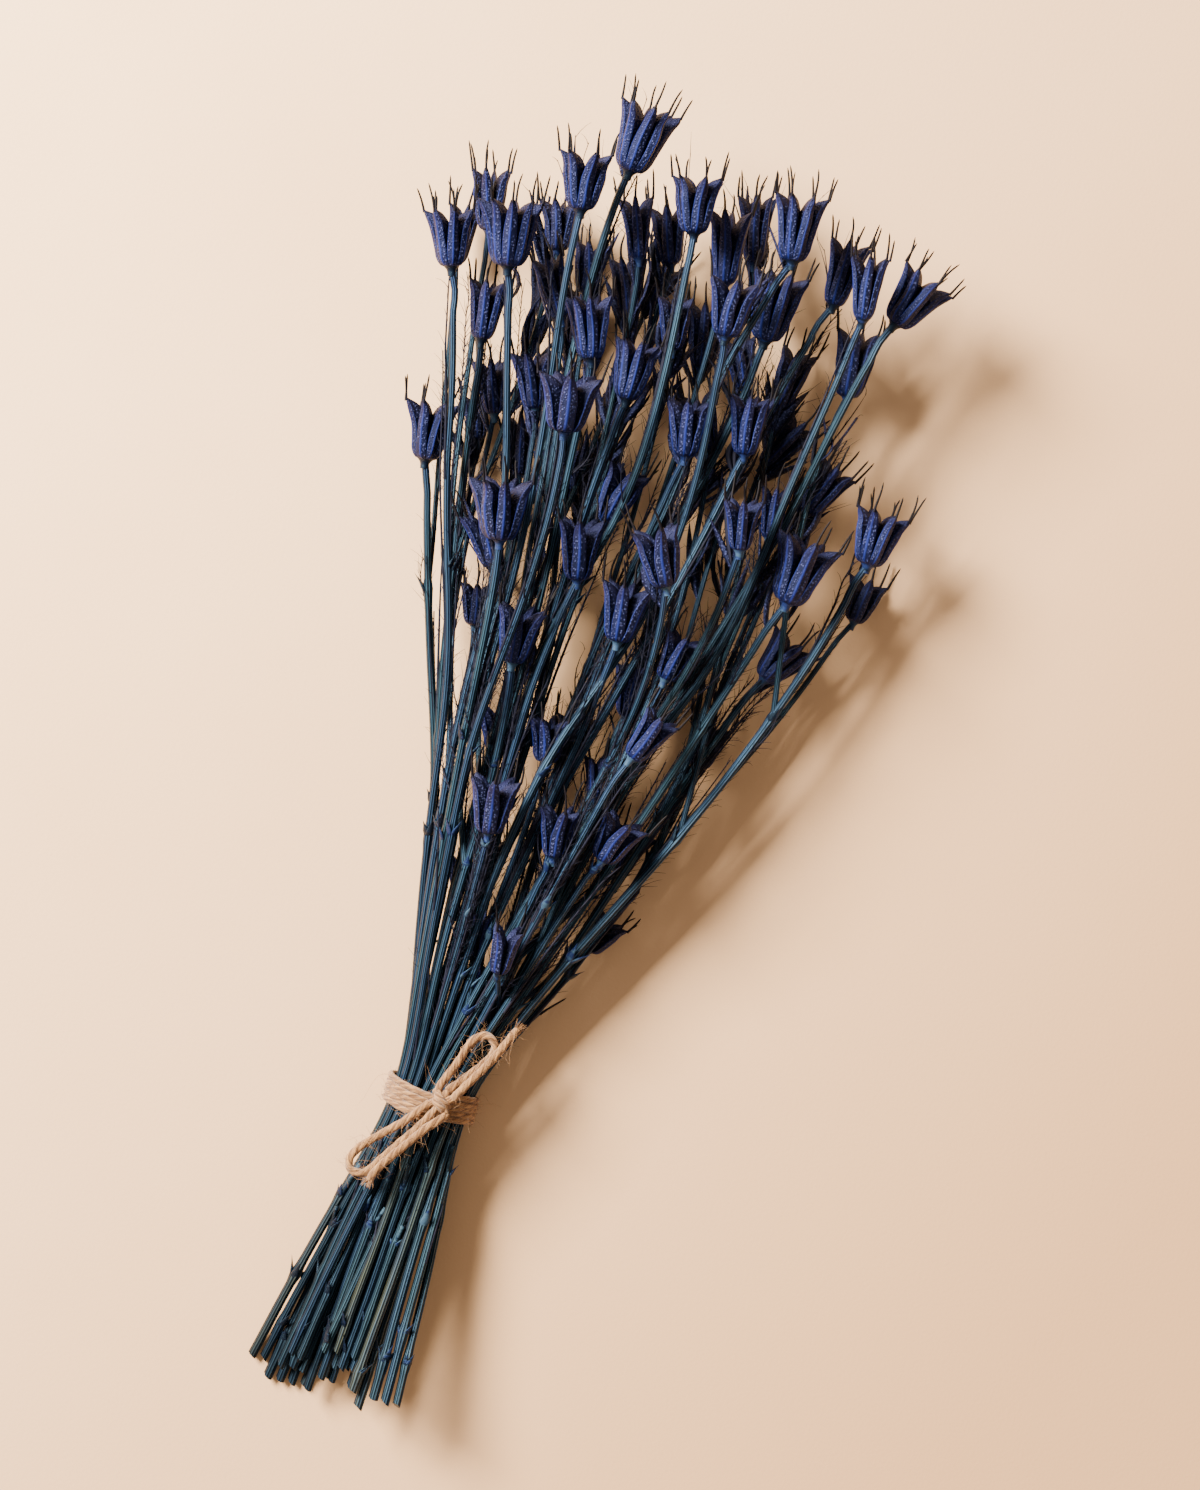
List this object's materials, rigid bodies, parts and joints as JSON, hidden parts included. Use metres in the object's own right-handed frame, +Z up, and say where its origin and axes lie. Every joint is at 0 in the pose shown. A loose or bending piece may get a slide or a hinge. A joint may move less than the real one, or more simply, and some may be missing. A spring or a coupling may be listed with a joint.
{
  "type": "dried flower bunch",
  "caption": "Bunch of dried nigella orientalis with horned seed pods on thin dyed stems, lying flat, tied near the cut ends with jute twine in a bow.",
  "frame": {"origin": "centre of the bounding box in plan, on the surface that the bunch lies on", "axes": "+Y along the bunch from the cut ends to the pods, +Z up from the surface, +X to the right seen from above"},
  "size_m": [0.1746, 0.4278, 0.0733],
  "materials": {
    "dyed_plant": "dry, matt plant fibre, dyed blue",
    "jute": "rough twisted fibre"
  },
  "bodies": {
    "root": {"spray_01": "dyed_plant", "spray_02": "dyed_plant", "spray_03": "dyed_plant", "spray_04": "dyed_plant", "spray_05": "dyed_plant", "spray_06": "dyed_plant", "spray_07": "dyed_plant", "spray_08": "dyed_plant", "spray_09": "dyed_plant", "spray_10": "dyed_plant", "spray_11": "dyed_plant", "spray_12": "dyed_plant", "spray_13": "dyed_plant", "spray_14": "dyed_plant", "spray_15": "dyed_plant", "spray_16": "dyed_plant", "spray_17": "dyed_plant", "spray_18": "dyed_plant", "spray_19": "dyed_plant", "spray_20": "dyed_plant", "spray_21": "dyed_plant", "spray_22": "dyed_plant", "spray_23": "dyed_plant", "spray_24": "dyed_plant", "spray_25": "dyed_plant", "spray_26": "dyed_plant", "spray_27": "dyed_plant", "spray_28": "dyed_plant", "spray_29": "dyed_plant", "spray_30": "dyed_plant", "spray_31": "dyed_plant", "spray_32": "dyed_plant", "spray_33": "dyed_plant", "spray_34": "dyed_plant", "twine_binding": "jute", "bow_loop_up": "jute", "bow_loop_down": "jute", "bow_tail_up": "jute", "bow_tail_down": "jute"}
  },
  "joints": []
}
